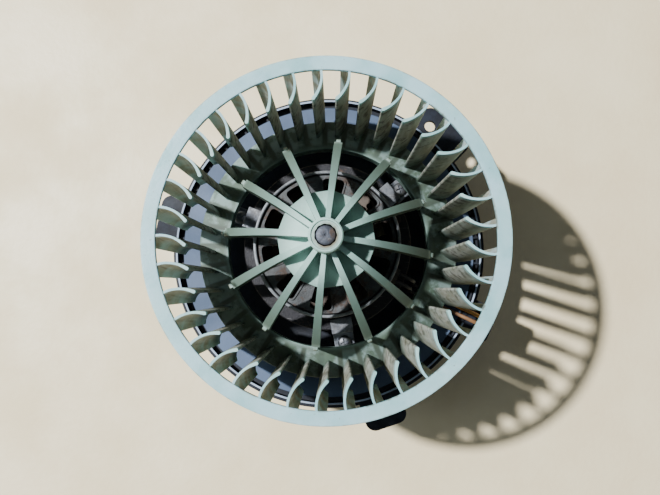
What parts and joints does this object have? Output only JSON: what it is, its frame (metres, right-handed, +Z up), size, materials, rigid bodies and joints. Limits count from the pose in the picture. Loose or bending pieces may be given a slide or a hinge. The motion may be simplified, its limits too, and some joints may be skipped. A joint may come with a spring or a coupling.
{
  "type": "blower motor with centrifugal wheel",
  "caption": "Round cabin blower: one-moulding squirrel-cage wheel on a DC motor held in a flanged plastic cup with mounting ears.",
  "frame": {"origin": "centre of the motor cup's flat base, on the rotor axis", "axes": "+Z up along the rotor axis, towards the wheel's open inlet; +X and +Y across the flange"},
  "size_m": [0.1726, 0.1678, 0.134],
  "materials": {
    "natural_nylon": "satin",
    "black_plastic": "satin",
    "drawn_steel": "dull",
    "shield_steel": "rusted",
    "shaft_steel": "dull",
    "zinc_plate": "satin",
    "spring_steel": "satin",
    "ferrite": "matt",
    "lamination_steel": "matt",
    "copper": "enamelled",
    "brass": "satin",
    "sintered_bronze": "oily",
    "carbon": "matt",
    "brown_phenolic": "matt",
    "rubber": "matt",
    "fibre": "matt",
    "orange_insulation": "satin",
    "brown_insulation": "satin"
  },
  "bodies": {
    "motor_and_flange": {"motor_cup": "black_plastic", "mounting_flange": "black_plastic", "isolator_1": "rubber", "isolator_2": "rubber", "isolator_3": "rubber", "rear_damper": "rubber", "motor_clip_1": "zinc_plate", "motor_clip_2": "zinc_plate", "motor_clip_3": "zinc_plate", "clip_screw_1": "zinc_plate", "clip_screw_2": "zinc_plate", "clip_screw_3": "zinc_plate", "motor_can": "drawn_steel", "end_shield": "shield_steel", "bearing_front": "sintered_bronze", "bearing_rear": "sintered_bronze", "bearing_retainer_front": "spring_steel", "bearing_retainer_rear": "spring_steel", "magnet_a": "ferrite", "magnet_b": "ferrite", "magnet_clip_a": "spring_steel", "magnet_clip_b": "spring_steel", "brush_plate": "brown_phenolic", "brush_holder_a": "brass", "brush_holder_b": "brass", "brush_spring_a": "spring_steel", "brush_spring_b": "spring_steel", "choke_coil_a": "copper", "choke_coil_b": "copper", "choke_core_a": "ferrite", "choke_core_b": "ferrite", "suppression_capacitor": "black_plastic", "lead_grommet": "rubber", "lead_positive": "orange_insulation", "lead_negative": "brown_insulation", "connector_housing": "black_plastic", "terminal_a": "zinc_plate", "terminal_b": "zinc_plate"},
    "rotor": {"wheel_cage": "natural_nylon", "wheel_hub": "natural_nylon", "hub_spring_clip": "spring_steel", "motor_shaft": "shaft_steel", "armature_core": "lamination_steel", "winding_front": "copper", "winding_rear": "copper", "commutator": "copper", "thrust_washer_front": "fibre", "thrust_washer_rear": "fibre"},
    "carbon_brush_a": {"brush_a": "carbon"},
    "carbon_brush_b": {"brush_b": "carbon"}
  },
  "joints": [
    {"name": "rotor_spin", "type": "hinge", "parent": "motor_and_flange", "child": "rotor", "pos_m": [0, 0, 0.05], "axis": [0, 0, 1], "continuous": true},
    {"name": "brush_a_slide", "type": "slide", "parent": "motor_and_flange", "child": "carbon_brush_a", "axis": [0.9397, 0.342, 0], "range_m": [0, 0.0025], "stiffness_N_per_m": 200, "springref_m": -0.004, "deforming": ["brush_spring_a"]},
    {"name": "brush_b_slide", "type": "slide", "parent": "motor_and_flange", "child": "carbon_brush_b", "axis": [-0.9397, -0.342, 0], "range_m": [0, 0.0025], "stiffness_N_per_m": 200, "springref_m": -0.004, "deforming": ["brush_spring_b"]}
  ]
}
